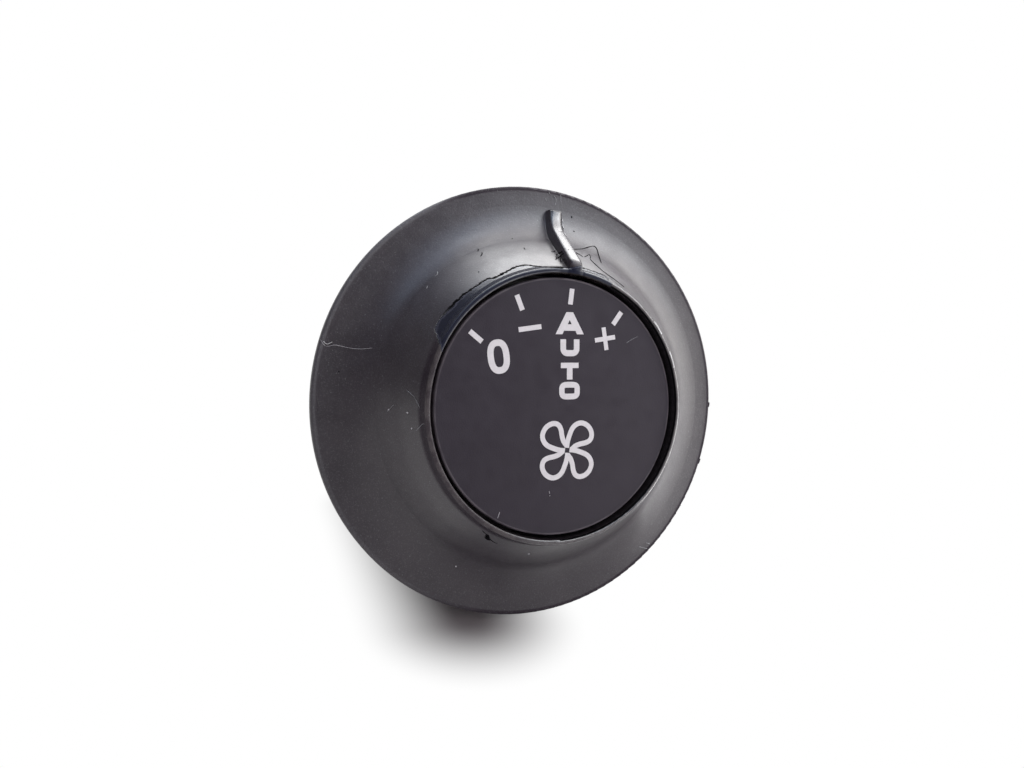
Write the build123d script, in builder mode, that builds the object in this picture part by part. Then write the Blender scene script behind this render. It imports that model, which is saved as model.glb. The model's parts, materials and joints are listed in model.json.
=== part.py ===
from build123d import *
import math
import os

# Rotary fan switch for a dashboard: a knob ring turns round a fixed dial cap.
# The knob's axis is Y. The dial faces -Y, +Z is up, and the origin is the centre of the panel
# hole on the panel's front face. Sizes are millimetres.
# A height is measured forward from the panel's front face, towards the driver, so what lies behind
# the panel has a negative height. A clock angle runs clockwise from the top, as the driver sees it.

# Knob ring
rim_radius = 25.0
rim_gap = 0.8
rim_land = 2.16
rim_edge = 0.3
skirt_wall = 1.25
cove_radius = 5.0
collar_height = 8.8
collar_bore = 14.25
lip_wall = 0.55
lip_round = 0.24
lip_band = 0.95
lip_flare = 0.3
web_wall = 1.4
hub_wall = 2.2
hub_boss = 0.6
key_depth = 0.7
key_clocks = (0, 130, 230)
key_widths = (16, 10, 10)
skirt_rib_count = 8
skirt_rib_wall = 0.8
skirt_rib_lift = 0.5

# Pointer rib
pointer_clock = 7.3
pointer_width = 1.6
pointer_rise = 1.3
pointer_head = 0.77
pointer_inset = 2.6
pointer_crown = 1.3
pointer_edge = 0.42

# Dial cap
cap_gap = 0.4
cap_recess = 0.6
cap_plate = 1.6
cap_edge = 0.2
cap_skirt_wall = 1.0
cap_skirt_inset = 0.5
cap_skirt_depth = 2.6
cap_hook_reach = 0.6
cap_hook_height = 0.5
cap_hook_clocks = (60, 180, 300)
cap_hook_angle = 24

# Light guide and lamp
guide_disc = 1.3
guide_clearance = 0.15
guide_cone = 1.6
guide_back = -7.5
guide_dish = 0.8
lamp_radius = 2.4
lamp_length = 6.5
lamp_gap = 1.4
wedge_width = 4.2
wedge_thickness = 1.8
wedge_depth = 3.0
holder_space = 0.8
holder_clearance = 0.15
holder_flange = 1.0
holder_head_thickness = 1.6
holder_grip_width = 1.8
holder_grip_height = 1.2
holder_lug_reach = 1.3
holder_lug_thickness = 1.1
holder_lug_width = 2.4
holder_edge = 0.4

# Housing
flange_space = 1.2
flange_thickness = 1.6
barrel_radius = 16.4
barrel_wall = 1.8
neck_front = 3.0
neck_back = 3.0
neck_wall = 1.7
key_rib_clocks = (0, 120, 240)
key_rib_widths = (3.2, 2.2, 2.2)
key_rib_height = 0.7
key_rib_length = 9.0
inner_rib_angle = 5
window_width = 5.4
window_length = 2.6
window_margin = 2.8

# Rotor
sleeve_space = 5.8
rotor_wall = 1.6
rotor_nose = 0.7
rotor_chamfer = 0.35
journal_clearance = 0.06
running_gap = 0.4
washer_thickness = 0.5
wheel_space = 1.4
wheel_thickness = 2.5
step_angle = 29.2
steps_back = 2
steps_forward = 1
notch_radius = 1.5
notch_depth = 0.8
lug_angle = 10
stop_margin = 0.5
groove_depth = 0.5
circlip_wall = 1.4
circlip_thickness = 0.6
circlip_gap_angle = 50
circlip_ear = 1.3
circlip_hole = 0.5
side_clearance = 0.05

# Detent spring
detent_clock = 180
spring_thickness = 0.35
spring_width = 2.0
spring_half_angle = 34
spring_tab_angle = 3
spring_bow = 0.55
nose_radius = 1.0
nose_clearance = 0.25

# Contacts
wiper_clocks = (-20, 160)
wiper_inset = 3.1
wiper_width = 3.6
wiper_slot = 1.1
wiper_thickness = 0.3
wiper_base = 2.8
wiper_reach = 3.4
wiper_tip = 0.8
wiper_gap = 0.12
peg_radius = 0.6
peg_height = 0.8
board_thickness = 1.6
board_clearance = 0.3
track_thickness = 0.15
track_width = 1.4
track_share = 0.8
contact_space = 3.0
terminal_count = 5
terminal_pitch = 2.6
terminal_width = 1.5
terminal_thickness = 0.64
terminal_tail = 0.8
terminal_length = 6.4
terminal_point = 0.3
terminal_edge = 0.16
resistor_radius = 0.8
resistor_waist = 0.1
resistor_lift = 0.1
resistor_length = 4.2
resistor_spread = 1.2
resistor_wire = 0.5
resistor_clocks = (-70, 70)

# Contact base
tube_clearance = 0.5
tube_wall = 1.5
base_thickness = 1.6
base_ring_wall = 1.4
base_ring_height = 2.4
tube_tail = 4.6

# Rear cover
cover_thickness = 1.8
cover_edge = 0.6
cover_wall = 1.2
cover_space = 6.4
cover_clearance = 0.2
finger_angle = 20
push_angle = 66
hook_reach = 1.2
hook_length = 2.2
hook_land = 0.4
hook_width = 4.6
shroud_gap = 0.4
socket_width = 15.0
socket_height = 6.0
socket_corner = 0.5
shroud_wall = 1.1
shroud_depth = 11.2
shroud_corner = 1.5
shroud_key_width = 1.4
shroud_key_height = 0.7

# Panel clips
clip_clocks = (60, 180, 300)
clip_width = 4.6
clip_thickness = 0.5
clip_pocket_gap = 0.3
clip_pocket_wall = 0.7
clip_pocket_front = 1.2
clip_front = 2.4
clip_crest = 5.4
clip_back = 14.6
clip_tab = 4.2
clip_turn = 1.05
clip_rise = 1.55
clip_release = 2.3
clip_bend = 0.4

# Heights along the axis
rim_back = rim_gap
rim_front = rim_back + skirt_wall
lip_top = rim_front + collar_height
cap_face = lip_top - cap_recess
cap_back = cap_face - cap_plate
guide_seat = cap_back - guide_disc
web_back = neck_front + running_gap
web_front = web_back + web_wall
hub_front = web_front + hub_boss
circlip_front = hub_front + circlip_thickness
rotor_front = circlip_front + side_clearance + rotor_nose
wheel_front = -neck_back - washer_thickness
wheel_back = wheel_front - wheel_thickness
board_front = wheel_back - contact_space
board_back = board_front - board_thickness
base_front = board_back - base_ring_height
base_back = base_front - base_thickness
tube_back = base_back - tube_tail
cover_front = base_back - cover_space
cover_back = cover_front - cover_thickness
shroud_end = cover_back - shroud_depth
window_back = cover_front + window_margin

# Radii about the axis
cap_radius = collar_bore - cap_gap
barrel_bore = barrel_radius - barrel_wall
clip_pocket_floor = barrel_bore + clip_pocket_wall
rotor_radius = barrel_bore - sleeve_space
wheel_radius = barrel_bore - wheel_space
wiper_radius = wheel_radius - wiper_inset
neck_bore = rotor_radius + journal_clearance
neck_radius = neck_bore + neck_wall
hub_radius = rotor_radius + hub_wall
rotor_bore = rotor_radius - rotor_wall
tube_radius = rotor_bore - tube_clearance
tube_bore = tube_radius - tube_wall
holder_radius = tube_bore - holder_space
holder_head = holder_radius + holder_flange
rib_inner = wheel_radius + running_gap
lug_radius = barrel_bore - running_gap
board_radius = barrel_bore - board_clearance
cover_ring = barrel_bore - cover_clearance
groove_radius = rotor_radius - groove_depth
cap_skirt_radius = cap_radius - cap_skirt_inset
guide_radius = cap_skirt_radius - cap_skirt_wall - guide_clearance
stem_radius = tube_bore - guide_clearance

# Drop of the connector's middle below the axis: its shroud clears the lamp holder's head
shroud_drop = holder_head + shroud_gap + shroud_wall + socket_height / 2

# The skirt's section: a flat land at the rim, a cove, a straight wall and a steeper band at the lip
lip_radius = collar_bore + lip_wall
band_radius = lip_radius + lip_flare
band_height = lip_top - lip_band
cove_start = rim_radius - rim_land
cove_sweep = min(cove_radius, cove_start - band_radius - skirt_wall)
cove_centre = rim_front + cove_sweep

turn_back = -step_angle * steps_back
turn_forward = step_angle * steps_forward
detent_turns = [step_angle * i for i in range(-steps_back, steps_forward + 1)]
terminal_places = [terminal_pitch * (i - (terminal_count - 1) / 2) for i in range(terminal_count)]


def outward(clock, radius=1.0):
    """Point at a radius from the axis, at a clock angle."""
    a = math.radians(clock)
    return (radius * math.sin(a), 0, radius * math.cos(a))


def radial_plane(clock):
    """Section through the axis: x runs outward at the clock angle, y runs forward."""
    a = math.radians(clock)
    return Plane(origin=(0, 0, 0), x_dir=outward(clock), z_dir=(math.cos(a), 0, -math.sin(a)))


def side_plane(clock, radius):
    """Plane across a radius: x runs clockwise, y runs forward and the normal runs inward."""
    a = math.radians(clock)
    x_dir = (math.cos(a), 0, -math.sin(a))
    return Plane(origin=outward(clock, radius), x_dir=x_dir, z_dir=(-math.sin(a), 0, -math.cos(a)))


def front_plane(height):
    """Plane that faces the driver at a height: x is the row's X and y is up."""
    return Plane.XZ.offset(height)


def dial_point(clock, radius, along=0.0):
    """Point in a front plane, at a clock angle and a radius, then along the clockwise tangent."""
    a = math.radians(clock)
    return (
        radius * math.sin(a) + along * math.cos(a),
        radius * math.cos(a) - along * math.sin(a),
    )


def sector(inner, outer, start, end):
    """Piece of a flat ring between two radii and two clock angles."""
    with BuildSketch() as shape:
        with BuildLine():
            outside = CenterArc((0, 0), outer, 90 - end, end - start)
            inside = CenterArc((0, 0), inner, 90 - end, end - start)
            Line(outside @ 0, inside @ 0)
            Line(outside @ 1, inside @ 1)
        make_face()
    return shape.sketch


def centred_sector(inner, outer, clock, width):
    """Piece of a flat ring that is centred on a clock angle."""
    return sector(inner, outer, clock - width / 2, clock + width / 2)


def cove_point(radius, turn):
    """Point of an arc struck from the cove's centre, after it has turned up from the rim's face."""
    a = math.radians(turn)
    return (cove_start - radius * math.sin(a), cove_centre - radius * math.cos(a))


def cove_arc(radius, start, end):
    """Three points of an arc struck from the cove's centre, between two turns."""
    return [cove_point(radius, turn) for turn in (start, (start + end) / 2, end)]


def turn_at_height(radius, height):
    """Turn at which an arc struck from the cove's centre reaches a height."""
    return math.degrees(math.acos((cove_centre - height) / radius))


def turn_towards(radius, reach, height):
    """Turn at which the tangent of an arc struck from the cove's centre runs to a point."""
    across = cove_start - reach
    rise = height - cove_centre
    return 90 + math.degrees(math.atan2(rise, across) - math.acos(radius / math.hypot(across, rise)))


# The wall's slope from the rim's face, and where its inner side leaves the collar's bore
wall_turn = turn_towards(cove_sweep, band_radius, band_height)
wall_slope = math.tan(math.radians(wall_turn))
wall_width = skirt_wall / math.sin(math.radians(wall_turn))
bore_back = band_height - (wall_width - band_radius + collar_bore) * wall_slope
inner_wall = collar_bore + (bore_back - web_front) / wall_slope

# The skirt's underside, and the housing's flange, which stays inside it
under_radius = cove_sweep + skirt_wall
under_at_flange = cove_point(under_radius, turn_at_height(under_radius, flange_thickness))
flange_radius = under_at_flange[0] - flange_space

# Pointer rib: follows the cove and the wall up to the collar's lip, where it sinks in
rib_plane = radial_plane(pointer_clock)
rib_root = cove_sweep + lip_wall / 2
rib_ridge = cove_sweep - pointer_rise
head_reach = lip_radius + pointer_head
head_root = collar_bore + lip_wall / 2
end_depth = cove_start - rim_radius + pointer_inset
with BuildPart() as pointer_rib:
    with BuildSketch(rib_plane):
        with BuildLine():
            root_start = math.degrees(math.asin(end_depth / rib_root))
            root = ThreePointArc(*cove_arc(rib_root, root_start, wall_turn))
            ridge_start = math.degrees(math.asin(end_depth / rib_ridge))
            ridge_turn = turn_towards(rib_ridge, head_reach, lip_top)
            ridge = ThreePointArc(*cove_arc(rib_ridge, ridge_start, ridge_turn))
            widest_crown = (head_reach - head_root - side_clearance) / math.tan(math.radians(ridge_turn / 2))
            head = FilletPolyline(
                ridge @ 1,
                (head_reach, lip_top),
                (head_root, lip_top),
                radius=min(pointer_crown, widest_crown),
            )
            Line(root @ 0, ridge @ 0)
            Polyline(head @ 1, (head_root, lip_top - lip_wall), root @ 1)
        make_face()
    extrude(amount=pointer_width / 2, both=True)

    def runs_along_ridge(edge):
        """Whether an edge lies over the ridge's line, on either side of the rib."""
        x, y, z = rib_plane.to_local_coords(edge @ 0.5)
        off_line = min(ridge.distance_to(Vector(x, y, 0)), head.distance_to(Vector(x, y, 0)))
        return abs(z) > pointer_width / 4 and off_line < side_clearance / 10

    fillet(pointer_rib.edges().filter_by(runs_along_ridge), pointer_edge)

# Knob ring: skirt, collar, web and hub in one moulding
with BuildPart() as knob_ring:
    with BuildSketch(radial_plane(90)):
        with BuildLine():
            cove = ThreePointArc(*cove_arc(cove_sweep, 0, wall_turn))
            under = ThreePointArc(*cove_arc(under_radius, 0, turn_at_height(under_radius, web_back)))
            Polyline(
                cove @ 1,
                (band_radius, band_height),
                (lip_radius, lip_top),
                (collar_bore, lip_top),
                (collar_bore, bore_back),
                (inner_wall, web_front),
                (hub_radius, web_front),
                (hub_radius, hub_front),
                (rotor_radius, hub_front),
                (rotor_radius, web_back),
                under @ 1,
            )
            Polyline(under @ 0, (rim_radius, rim_back), (rim_radius, rim_front), cove @ 0)
        make_face()
    revolve(axis=Axis.Y)
    rim_edges = knob_ring.edges().filter_by(GeomType.CIRCLE).group_by(SortBy.RADIUS)[-1]
    fillet(rim_edges, rim_edge)
    lip_edges = knob_ring.edges().filter_by(GeomType.CIRCLE).group_by(Axis.Y)[0]
    fillet(lip_edges, lip_round)
    add(pointer_rib.part)
    # Keys in the hub's bore
    with BuildSketch(front_plane(web_back)):
        key_tip = rotor_radius - key_depth + side_clearance
        for clock, width in zip(key_clocks, key_widths):
            add(centred_sector(key_tip, rotor_radius + hub_wall / 2, clock, width))
    extrude(amount=hub_front - web_back)
    # Stiffening ribs under the skirt
    rib_low = flange_thickness + skirt_rib_lift
    for i in range(skirt_rib_count):
        with BuildSketch(radial_plane(360 / skirt_rib_count * (i + 0.5))):
            with BuildLine():
                rib_high = web_back + web_wall / 2
                rib_start = neck_radius + running_gap
                middle = cove_sweep + skirt_wall / 2
                low_turn = turn_at_height(middle, rib_low)
                high_turn = turn_at_height(middle, rib_high)
                edge = ThreePointArc(*cove_arc(middle, low_turn, high_turn))
                Polyline(edge @ 0, (rib_start, rib_low), (rib_start, rib_high), edge @ 1)
            make_face()
        extrude(amount=skirt_rib_wall / 2, both=True)

# Dial cap: flat fixed disc with a short skirt and hooks that grip the light guide's disc
with BuildPart() as dial_cap:
    with BuildSketch(front_plane(cap_back)):
        Circle(cap_radius)
    extrude(amount=cap_plate)
    fillet(dial_cap.edges().group_by(Axis.Y)[0], cap_edge)
    with BuildSketch(front_plane(cap_back)):
        Circle(cap_skirt_radius)
        Circle(cap_skirt_radius - cap_skirt_wall, mode=Mode.SUBTRACT)
    extrude(amount=-cap_skirt_depth)
    with BuildSketch(front_plane(guide_seat - side_clearance)):
        for clock in cap_hook_clocks:
            hook_outer = cap_skirt_radius - cap_skirt_wall / 2
            hook_inner = cap_skirt_radius - cap_skirt_wall - cap_hook_reach
            add(centred_sector(hook_inner, hook_outer, clock, cap_hook_angle))
    extrude(amount=-cap_hook_height)

# Light guide: clear stem in the fixed tube, with a disc behind the dial
with BuildPart() as light_guide:
    with BuildSketch(radial_plane(90)):
        with BuildLine():
            dish = TangentArc((0, guide_back + guide_dish), (stem_radius, guide_back), tangent=(1, 0))
            Polyline(
                dish @ 1,
                (stem_radius, guide_seat),
                (guide_radius, guide_seat),
                (guide_radius, cap_back),
                (guide_cone, cap_back),
                (0, cap_back - guide_cone / 2),
                dish @ 0,
            )
        make_face()
    revolve(axis=Axis.Y)

# Front housing: panel flange, neck bearing and barrel in one moulding
with BuildPart() as front_housing:
    with BuildSketch(radial_plane(90)):
        with BuildLine():
            Polyline(
                (neck_bore, neck_front),
                (neck_radius, neck_front),
                (neck_radius, flange_thickness),
                (flange_radius, flange_thickness),
                (flange_radius, 0),
                (barrel_radius, 0),
                (barrel_radius, cover_front),
                (barrel_bore, cover_front),
                (barrel_bore, 0),
                (neck_radius, 0),
                (neck_radius, -neck_back),
                (neck_bore, -neck_back),
                close=True,
            )
        make_face()
    revolve(axis=Axis.Y)
    flange_rim = front_housing.edges().filter_by(GeomType.CIRCLE).group_by(SortBy.RADIUS)[-1]
    chamfer(flange_rim.sort_by(Axis.Y)[0], rim_edge)
    # Key ribs that stop the barrel from turning in the panel
    for clock, width in zip(key_rib_clocks, key_rib_widths):
        with BuildSketch(side_plane(clock, barrel_radius + key_rib_height)):
            with Locations((0, -key_rib_length / 2)):
                Rectangle(width, key_rib_length)
        extrude(amount=key_rib_height + barrel_wall / 2)
    # Inner ribs: two stops for the rotor's lug and two that trap the detent spring
    stop_reach = lug_angle / 2 + stop_margin + inner_rib_angle / 2
    spring_reach = spring_half_angle + stop_margin + inner_rib_angle / 2
    inner_rib_clocks = (
        turn_back - stop_reach,
        turn_forward + stop_reach,
        detent_clock - spring_reach,
        detent_clock + spring_reach,
    )
    with BuildSketch(front_plane(0)):
        for clock in inner_rib_clocks:
            add(centred_sector(rib_inner, barrel_bore + barrel_wall / 2, clock, inner_rib_angle))
    extrude(amount=board_front)
    # Pockets and slots for the panel clips
    for clock in clip_clocks:
        with BuildSketch(side_plane(clock, flange_radius)):
            pocket_length = clip_back + clip_thickness - clip_pocket_front
            with Locations((0, -clip_pocket_front - pocket_length / 2)):
                Rectangle(clip_width + 2 * clip_pocket_gap, pocket_length)
        extrude(amount=flange_radius - clip_pocket_floor, mode=Mode.SUBTRACT)
        with BuildSketch(side_plane(clock, flange_radius)):
            with Locations((0, -clip_tab)):
                Rectangle(clip_width + 2 * clip_pocket_gap, clip_thickness + 2 * clip_pocket_gap)
        extrude(amount=flange_radius - barrel_bore + barrel_wall / 2, mode=Mode.SUBTRACT)
    # Windows for the rear cover's hooks
    for clock in key_rib_clocks:
        with BuildSketch(side_plane(clock, flange_radius)):
            with Locations((0, window_back + window_length / 2)):
                Rectangle(window_width, window_length)
        extrude(amount=flange_radius - barrel_bore + barrel_wall, mode=Mode.SUBTRACT)

# Thrust washer between the neck and the rotor's wheel
with BuildPart() as thrust_washer:
    with BuildSketch(front_plane(-neck_back)):
        Circle(neck_radius)
        Circle(neck_bore, mode=Mode.SUBTRACT)
    extrude(amount=-washer_thickness)

# Rotor: hollow drive sleeve and detent wheel
with BuildPart() as rotor:
    with BuildSketch(radial_plane(90)):
        with BuildLine():
            Polyline(
                (rotor_bore, rotor_front),
                (rotor_radius, rotor_front),
                (rotor_radius, circlip_front + side_clearance),
                (groove_radius, circlip_front + side_clearance),
                (groove_radius, hub_front),
                (rotor_radius, hub_front),
                (rotor_radius, wheel_front),
                (wheel_radius, wheel_front),
                (wheel_radius, wheel_back),
                (rotor_bore, wheel_back),
                close=True,
            )
        make_face()
    revolve(axis=Axis.Y)
    nose_rim = rotor.edges().filter_by(GeomType.CIRCLE).group_by(Axis.Y)[0]
    chamfer(nose_rim.sort_by(SortBy.RADIUS)[-1], rotor_chamfer)
    # Lug that meets the housing's stops
    with BuildSketch(front_plane(wheel_back)):
        add(centred_sector(wheel_radius - notch_depth, lug_radius, 0, lug_angle))
    extrude(amount=wheel_thickness)
    # Notches for the detent spring's nose, one for each setting
    with BuildSketch(front_plane(wheel_back)):
        for turn in detent_turns:
            with Locations(dial_point(detent_clock - turn, wheel_radius - notch_depth + notch_radius)):
                Circle(notch_radius)
    extrude(amount=wheel_thickness, mode=Mode.SUBTRACT)
    # Grooves for the hub's keys
    with BuildSketch(front_plane(web_back - side_clearance)):
        for clock, width in zip(key_clocks, key_widths):
            groove_width = width + math.degrees(2 * side_clearance / rotor_radius)
            add(centred_sector(rotor_radius - key_depth, rotor_radius + rotor_wall, clock, groove_width))
    extrude(amount=rotor_front, mode=Mode.SUBTRACT)
    # Pegs that hold the wipers
    peg_place = wiper_reach - wiper_base / 2
    with BuildSketch(front_plane(wheel_back)):
        for clock in wiper_clocks:
            with Locations(dial_point(clock, wiper_radius, -peg_place)):
                Circle(peg_radius)
    extrude(amount=-peg_height)

# Circlip in the rotor's groove, in front of the knob's hub
with BuildPart() as knob_circlip:
    with BuildSketch(front_plane(hub_front)):
        half_gap = circlip_gap_angle / 2
        ring_inner = groove_radius + side_clearance
        ring_outer = groove_radius + circlip_wall
        add(sector(ring_inner, ring_outer, detent_clock + half_gap, detent_clock + 360 - half_gap))
        for clock in (detent_clock - half_gap, detent_clock + half_gap):
            with Locations(dial_point(clock, ring_inner + circlip_ear)):
                Circle(circlip_ear)
                Circle(circlip_hole, mode=Mode.SUBTRACT)
    extrude(amount=circlip_thickness)

# Detent spring: bowed leaf with a nose in the rotor's notch and tabs trapped at its ends
tab_radius = barrel_bore - side_clearance - spring_thickness / 2
bow_radius = tab_radius - spring_bow
nose_centre = wheel_radius - notch_depth + nose_clearance + nose_radius + spring_thickness / 2
spring_middle = (wheel_front + wheel_back) / 2
with BuildPart() as detent_spring:
    with BuildSketch(front_plane(spring_middle)):
        with BuildLine():
            bend = math.degrees(2 * nose_radius / bow_radius)
            quarter = (spring_half_angle - spring_tab_angle + bend) / 2
            left = [
                dial_point(detent_clock + spring_half_angle, tab_radius),
                dial_point(detent_clock + spring_half_angle - spring_tab_angle, tab_radius),
                dial_point(detent_clock + quarter, (tab_radius + bow_radius) / 2),
                dial_point(detent_clock + bend, bow_radius),
            ]
            tip = dial_point(detent_clock, nose_centre - nose_radius)
            right = [
                dial_point(detent_clock - bend, bow_radius),
                dial_point(detent_clock - quarter, (tab_radius + bow_radius) / 2),
                dial_point(detent_clock - spring_half_angle + spring_tab_angle, tab_radius),
                dial_point(detent_clock - spring_half_angle, tab_radius),
            ]
            Spline(*left, tip, *right)
        trace(line_width=spring_thickness)
    extrude(amount=spring_width / 2, both=True)
    with BuildSketch(front_plane(-side_clearance)):
        for side in (-1, 1):
            middle = detent_clock + side * (spring_half_angle - spring_tab_angle / 2)
            tab_inner = tab_radius - spring_thickness / 2
            tab_outer = tab_radius + spring_thickness / 2
            add(centred_sector(tab_inner, tab_outer, middle, spring_tab_angle))
    extrude(amount=board_front + 2 * side_clearance)

# Contact wipers: two-fingered bridging springs under the rotor's wheel
wipers = []
for index, clock in enumerate(wiper_clocks):
    with BuildPart(mode=Mode.PRIVATE) as wiper:
        with BuildSketch(side_plane(clock, wiper_radius)):
            with BuildLine():
                leaf = wheel_back - wiper_thickness / 2
                contact = board_front + track_thickness + wiper_gap + wiper_thickness / 2
                FilletPolyline(
                    (-wiper_reach, leaf),
                    (-wiper_reach + wiper_base, leaf),
                    (wiper_reach - wiper_tip, contact),
                    (wiper_reach, contact + wiper_tip / 2),
                    radius=wiper_thickness,
                )
            trace(line_width=wiper_thickness)
        extrude(amount=wiper_width / 2, both=True)
        with BuildSketch(side_plane(clock, wiper_radius)):
            slot_start = -wiper_reach + wiper_base
            with Locations(((slot_start + 2 * wiper_reach) / 2, (wheel_back + board_front) / 2)):
                Rectangle(2 * wiper_reach - slot_start, wheel_back - board_front)
        extrude(amount=wiper_slot / 2, both=True, mode=Mode.SUBTRACT)
        with BuildSketch(front_plane(wheel_back)):
            with Locations(dial_point(clock, wiper_radius, -peg_place)):
                Circle(peg_radius + side_clearance)
        extrude(amount=-peg_height, mode=Mode.SUBTRACT)
    wiper.part.label = f"contact_wiper_{index + 1}"
    wipers.append(wiper.part)

# Contact board: ring with a slot for each terminal's tail
with BuildPart() as contact_board:
    wire_place = resistor_length / 2 + resistor_spread
    with BuildSketch(front_plane(board_front)):
        Circle(board_radius)
        Circle(tube_radius + side_clearance, mode=Mode.SUBTRACT)
        for place in terminal_places:
            with Locations((place, -shroud_drop)):
                Rectangle(
                    terminal_tail + 2 * side_clearance,
                    terminal_thickness + 2 * side_clearance,
                    mode=Mode.SUBTRACT,
                )
        for clock in resistor_clocks:
            for along in (-wire_place, wire_place):
                with Locations(dial_point(clock, wiper_radius, along)):
                    Circle(resistor_wire / 2 + side_clearance, mode=Mode.SUBTRACT)
    extrude(amount=-board_thickness)

# Contact tracks: a common arc and one arc for each setting
inner_track = wiper_radius - wiper_slot / 2 - track_width
outer_track = wiper_radius + wiper_slot / 2 + side_clearance
with BuildPart() as contact_tracks:
    with BuildSketch(front_plane(board_front)):
        for clock in wiper_clocks:
            half_step = step_angle / 2
            track_end = clock + turn_forward + half_step
            add(sector(inner_track, inner_track + track_width, clock + turn_back, track_end))
            for turn in detent_turns:
                middle = clock + turn + half_step
                add(centred_sector(outer_track, outer_track + track_width, middle, step_angle * track_share))
    extrude(amount=track_thickness)

# Coding resistors on the board's back, with their wires bent into it
resistors = []
for index, clock in enumerate(resistor_clocks):
    with BuildPart(mode=Mode.PRIVATE) as resistor:
        body_height = board_back - resistor_lift - resistor_radius
        with BuildSketch(side_plane(clock, wiper_radius)):
            with BuildLine():
                end_edge = body_height + resistor_radius
                waist_edge = end_edge - resistor_waist
                Polyline(
                    (-resistor_length / 2, body_height),
                    (-resistor_length / 2, end_edge),
                    (-resistor_length / 4, end_edge),
                    (-resistor_length / 4, waist_edge),
                    (resistor_length / 4, waist_edge),
                    (resistor_length / 4, end_edge),
                    (resistor_length / 2, end_edge),
                    (resistor_length / 2, body_height),
                    close=True,
                )
            make_face()
        a = math.radians(clock)
        body_x, _, body_z = outward(clock, wiper_radius)
        body_axis = Axis((body_x, -body_height, body_z), (math.cos(a), 0, -math.sin(a)))
        revolve(axis=body_axis)
        with BuildLine(side_plane(clock, wiper_radius)) as wire_path:
            FilletPolyline(
                (-wire_place, board_front - side_clearance),
                (-wire_place, body_height),
                (wire_place, body_height),
                (wire_place, board_front - side_clearance),
                radius=resistor_wire,
            )
        with BuildSketch(Plane(origin=wire_path.line @ 0, z_dir=wire_path.line % 0)):
            Circle(resistor_wire / 2)
        sweep()
    resistor.part.label = f"resistor_{index + 1}"
    resistors.append(resistor.part)

# Contact base: carries the board and the fixed centre tube
with BuildPart() as contact_base:
    with BuildSketch(radial_plane(90)):
        with BuildLine():
            Polyline(
                (tube_bore, guide_seat),
                (tube_radius, guide_seat),
                (tube_radius, base_front),
                (board_radius - base_ring_wall, base_front),
                (board_radius - base_ring_wall, board_back),
                (board_radius, board_back),
                (board_radius, base_back),
                (tube_radius, base_back),
                (tube_radius, tube_back),
                (tube_bore, tube_back),
                close=True,
            )
        make_face()
    revolve(axis=Axis.Y)
    with BuildSketch(front_plane(base_front)):
        for place in terminal_places:
            with Locations((place, -shroud_drop)):
                Rectangle(terminal_width + 2 * side_clearance, terminal_thickness + 2 * side_clearance)
    extrude(amount=-base_thickness, mode=Mode.SUBTRACT)

# Terminals: flat blades with a narrow tail in the board and a pointed end in the connector
terminal_end = -(cover_back - terminal_length)
terminals = []
for index, place in enumerate(terminal_places):
    with BuildPart(mode=Mode.PRIVATE) as terminal:
        with BuildSketch(Plane.XY.offset(-shroud_drop)):
            with BuildLine():
                Polyline(
                    (place - terminal_tail / 2, -board_front + side_clearance),
                    (place + terminal_tail / 2, -board_front + side_clearance),
                    (place + terminal_tail / 2, -board_back),
                    (place + terminal_width / 2, -board_back),
                    (place + terminal_width / 2, terminal_end - 2 * terminal_point),
                    (place + terminal_width / 2 - terminal_point, terminal_end),
                    (place - terminal_width / 2 + terminal_point, terminal_end),
                    (place - terminal_width / 2, terminal_end - 2 * terminal_point),
                    (place - terminal_width / 2, -board_back),
                    (place - terminal_tail / 2, -board_back),
                    close=True,
                )
            make_face()
        extrude(amount=terminal_thickness / 2, both=True)
        chamfer(terminal.edges().group_by(Axis.Y)[-1].filter_by(Axis.X), terminal_edge)
    terminal.part.label = f"terminal_{index + 1}"
    terminals.append(terminal.part)

# Lamp: small capless bulb on the axis
lamp_tip = guide_back - lamp_gap
lamp_seat = lamp_tip - lamp_length
with BuildPart() as lamp_bulb:
    with BuildSketch(radial_plane(90)):
        with BuildLine():
            dome = CenterArc((0, lamp_tip - lamp_radius), lamp_radius, 0, 90)
            Polyline(dome @ 0, (lamp_radius, lamp_seat), (0, lamp_seat), dome @ 1)
        make_face()
    revolve(axis=Axis.Y)
    with BuildSketch(front_plane(lamp_seat)):
        Rectangle(wedge_width, wedge_thickness)
    extrude(amount=-wedge_depth)

# Lamp holder: twist-in plug with two lugs, a head and a grip bar
with BuildPart() as lamp_holder:
    with BuildSketch(front_plane(lamp_seat)):
        Circle(holder_radius)
    extrude(amount=cover_back - lamp_seat)
    with BuildSketch(front_plane(cover_back)):
        Circle(holder_head)
    extrude(amount=-holder_head_thickness)
    chamfer(lamp_holder.edges().filter_by(GeomType.CIRCLE).group_by(Axis.Y)[-1], holder_edge)
    with BuildSketch(front_plane(cover_back - holder_head_thickness)):
        Rectangle(2 * holder_radius, holder_grip_width)
    extrude(amount=-holder_grip_height)
    fillet(lamp_holder.edges().group_by(Axis.Y)[-1], holder_edge)
    with BuildSketch(front_plane(cover_front + side_clearance)):
        Rectangle(2 * (holder_radius + holder_lug_reach), holder_lug_width)
    extrude(amount=holder_lug_thickness)
    with BuildSketch(front_plane(lamp_seat)):
        Rectangle(wedge_width + 2 * side_clearance, wedge_thickness + 2 * side_clearance)
    extrude(amount=-wedge_depth - side_clearance, mode=Mode.SUBTRACT)

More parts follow.
